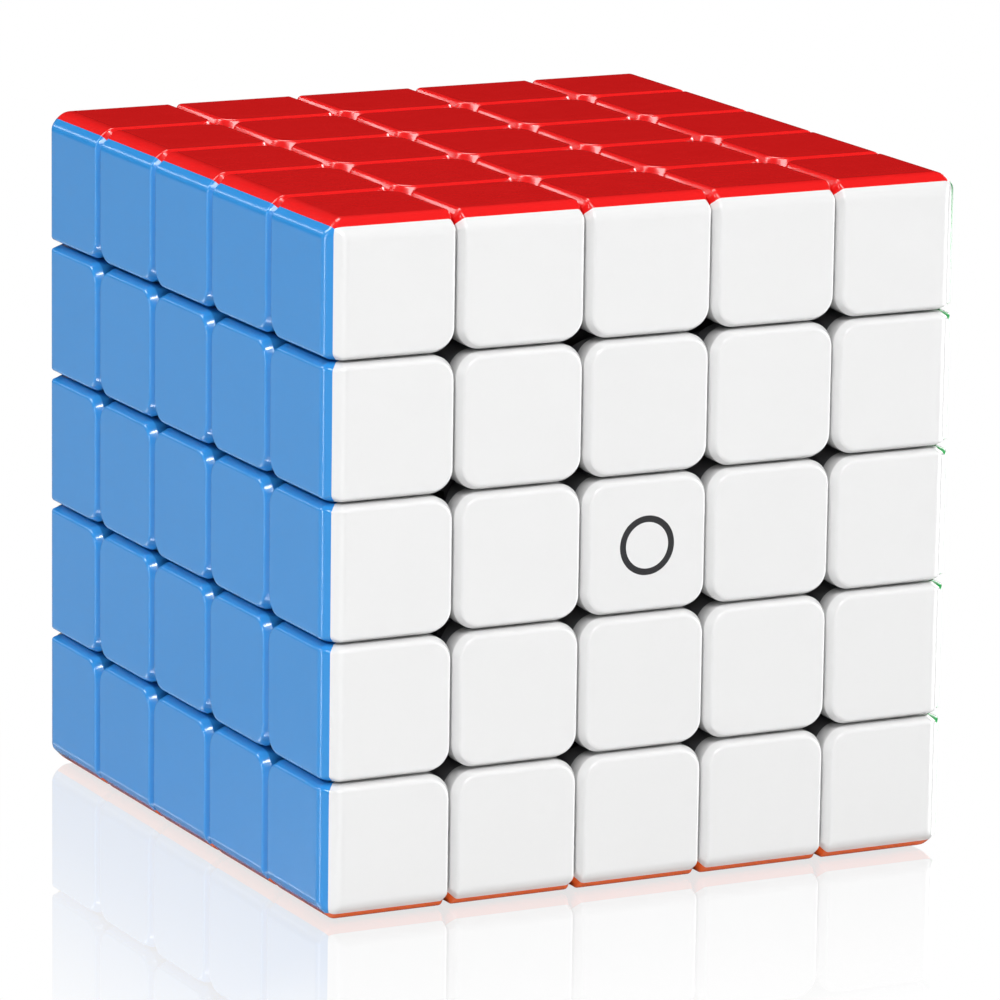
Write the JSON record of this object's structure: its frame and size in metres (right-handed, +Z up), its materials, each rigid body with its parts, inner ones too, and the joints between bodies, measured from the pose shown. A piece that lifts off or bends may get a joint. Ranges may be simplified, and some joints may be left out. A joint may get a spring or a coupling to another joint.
{
  "type": "twisty puzzle cube",
  "caption": "Stickerless twisty puzzle cube: coloured caps on dark hooked feet, held to a ball core by sprung screws, its layers turning about the vertical axis.",
  "frame": {"origin": "centre of the core ball, where all turning axes meet, which is the centre of the cube", "axes": "+Z up through the red face, -Y out of the white face, -X out of the blue face"},
  "size_m": [0.0624, 0.0624, 0.0624],
  "materials": {
    "white_plastic": "gloss",
    "red_plastic": "gloss",
    "blue_plastic": "gloss",
    "green_plastic": "gloss",
    "yellow_plastic": "gloss",
    "orange_plastic": "gloss",
    "inner_plastic": "satin",
    "core_plastic": "satin",
    "screw_steel": "satin",
    "washer_steel": "satin",
    "spring_steel": "satin"
  },
  "bodies": {
    "core_and_middle_layer": {"back_centre_stem": "inner_plastic", "back_middle_row_caps": "yellow_plastic", "core_shell_lower": "core_plastic", "core_shell_upper": "core_plastic", "core_spider": "core_plastic", "front_centre_stem": "inner_plastic", "front_middle_row_caps": "white_plastic", "left_centre_stem": "inner_plastic", "left_middle_row_caps": "blue_plastic", "middle_edge_feet": "inner_plastic", "middle_side_centre_feet": "inner_plastic", "right_centre_stem": "inner_plastic", "right_middle_row_caps": "green_plastic", "spring_washers": "washer_steel", "tension_screws": "screw_steel", "tension_springs": "spring_steel"},
    "top_layer": {"back_top_row_caps": "yellow_plastic", "front_top_row_caps": "white_plastic", "left_top_row_caps": "blue_plastic", "right_top_row_caps": "green_plastic", "top_border_caps": "red_plastic", "top_centre_stem": "inner_plastic", "top_corner_feet": "inner_plastic", "top_diagonal_centre_feet": "inner_plastic", "top_inner_caps": "red_plastic", "top_middle_edge_feet": "inner_plastic", "top_side_centre_feet": "inner_plastic", "top_wing_feet": "inner_plastic"},
    "upper_layer": {"back_upper_row_caps": "yellow_plastic", "front_upper_row_caps": "white_plastic", "left_upper_row_caps": "blue_plastic", "right_upper_row_caps": "green_plastic", "upper_diagonal_centre_feet": "inner_plastic", "upper_side_centre_feet": "inner_plastic", "upper_wing_feet": "inner_plastic"},
    "lower_layer": {"back_lower_row_caps": "yellow_plastic", "front_lower_row_caps": "white_plastic", "left_lower_row_caps": "blue_plastic", "lower_diagonal_centre_feet": "inner_plastic", "lower_side_centre_feet": "inner_plastic", "lower_wing_feet": "inner_plastic", "right_lower_row_caps": "green_plastic"},
    "bottom_layer": {"back_bottom_row_caps": "yellow_plastic", "bottom_border_caps": "orange_plastic", "bottom_centre_stem": "inner_plastic", "bottom_corner_feet": "inner_plastic", "bottom_diagonal_centre_feet": "inner_plastic", "bottom_inner_caps": "orange_plastic", "bottom_middle_edge_feet": "inner_plastic", "bottom_side_centre_feet": "inner_plastic", "bottom_wing_feet": "inner_plastic", "front_bottom_row_caps": "white_plastic", "left_bottom_row_caps": "blue_plastic", "right_bottom_row_caps": "green_plastic"},
    "back_centre_cap": {"back_centre_cap": "yellow_plastic"},
    "bottom_centre_cap": {"bottom_centre_cap": "orange_plastic"},
    "front_centre_cap": {"front_centre_cap": "white_plastic"},
    "left_centre_cap": {"left_centre_cap": "blue_plastic"},
    "right_centre_cap": {"right_centre_cap": "green_plastic"},
    "top_centre_cap": {"top_centre_cap": "red_plastic"}
  },
  "joints": [
    {"name": "top_layer_turn", "type": "hinge", "parent": "core_and_middle_layer", "child": "top_layer", "pos_m": [0, 0, 0], "axis": [0, 0, 1], "continuous": true},
    {"name": "upper_layer_turn", "type": "hinge", "parent": "core_and_middle_layer", "child": "upper_layer", "pos_m": [0, 0, 0], "axis": [0, 0, 1], "continuous": true},
    {"name": "lower_layer_turn", "type": "hinge", "parent": "core_and_middle_layer", "child": "lower_layer", "pos_m": [0, 0, 0], "axis": [0, 0, 1], "continuous": true},
    {"name": "bottom_layer_turn", "type": "hinge", "parent": "core_and_middle_layer", "child": "bottom_layer", "pos_m": [0, 0, 0], "axis": [0, 0, 1], "continuous": true},
    {"name": "top_centre_cap_pull", "type": "slide", "parent": "top_layer", "child": "top_centre_cap", "axis": [0, 0, 1], "range_m": [0, 0.012]},
    {"name": "bottom_centre_cap_pull", "type": "slide", "parent": "bottom_layer", "child": "bottom_centre_cap", "axis": [0, 0, -1], "range_m": [0, 0.012]},
    {"name": "front_centre_cap_pull", "type": "slide", "parent": "core_and_middle_layer", "child": "front_centre_cap", "axis": [0, -1, 0], "range_m": [0, 0.012]},
    {"name": "back_centre_cap_pull", "type": "slide", "parent": "core_and_middle_layer", "child": "back_centre_cap", "axis": [0, 1, 0], "range_m": [0, 0.012]},
    {"name": "left_centre_cap_pull", "type": "slide", "parent": "core_and_middle_layer", "child": "left_centre_cap", "axis": [-1, 0, 0], "range_m": [0, 0.012]},
    {"name": "right_centre_cap_pull", "type": "slide", "parent": "core_and_middle_layer", "child": "right_centre_cap", "axis": [1, 0, 0], "range_m": [0, 0.012]}
  ]
}
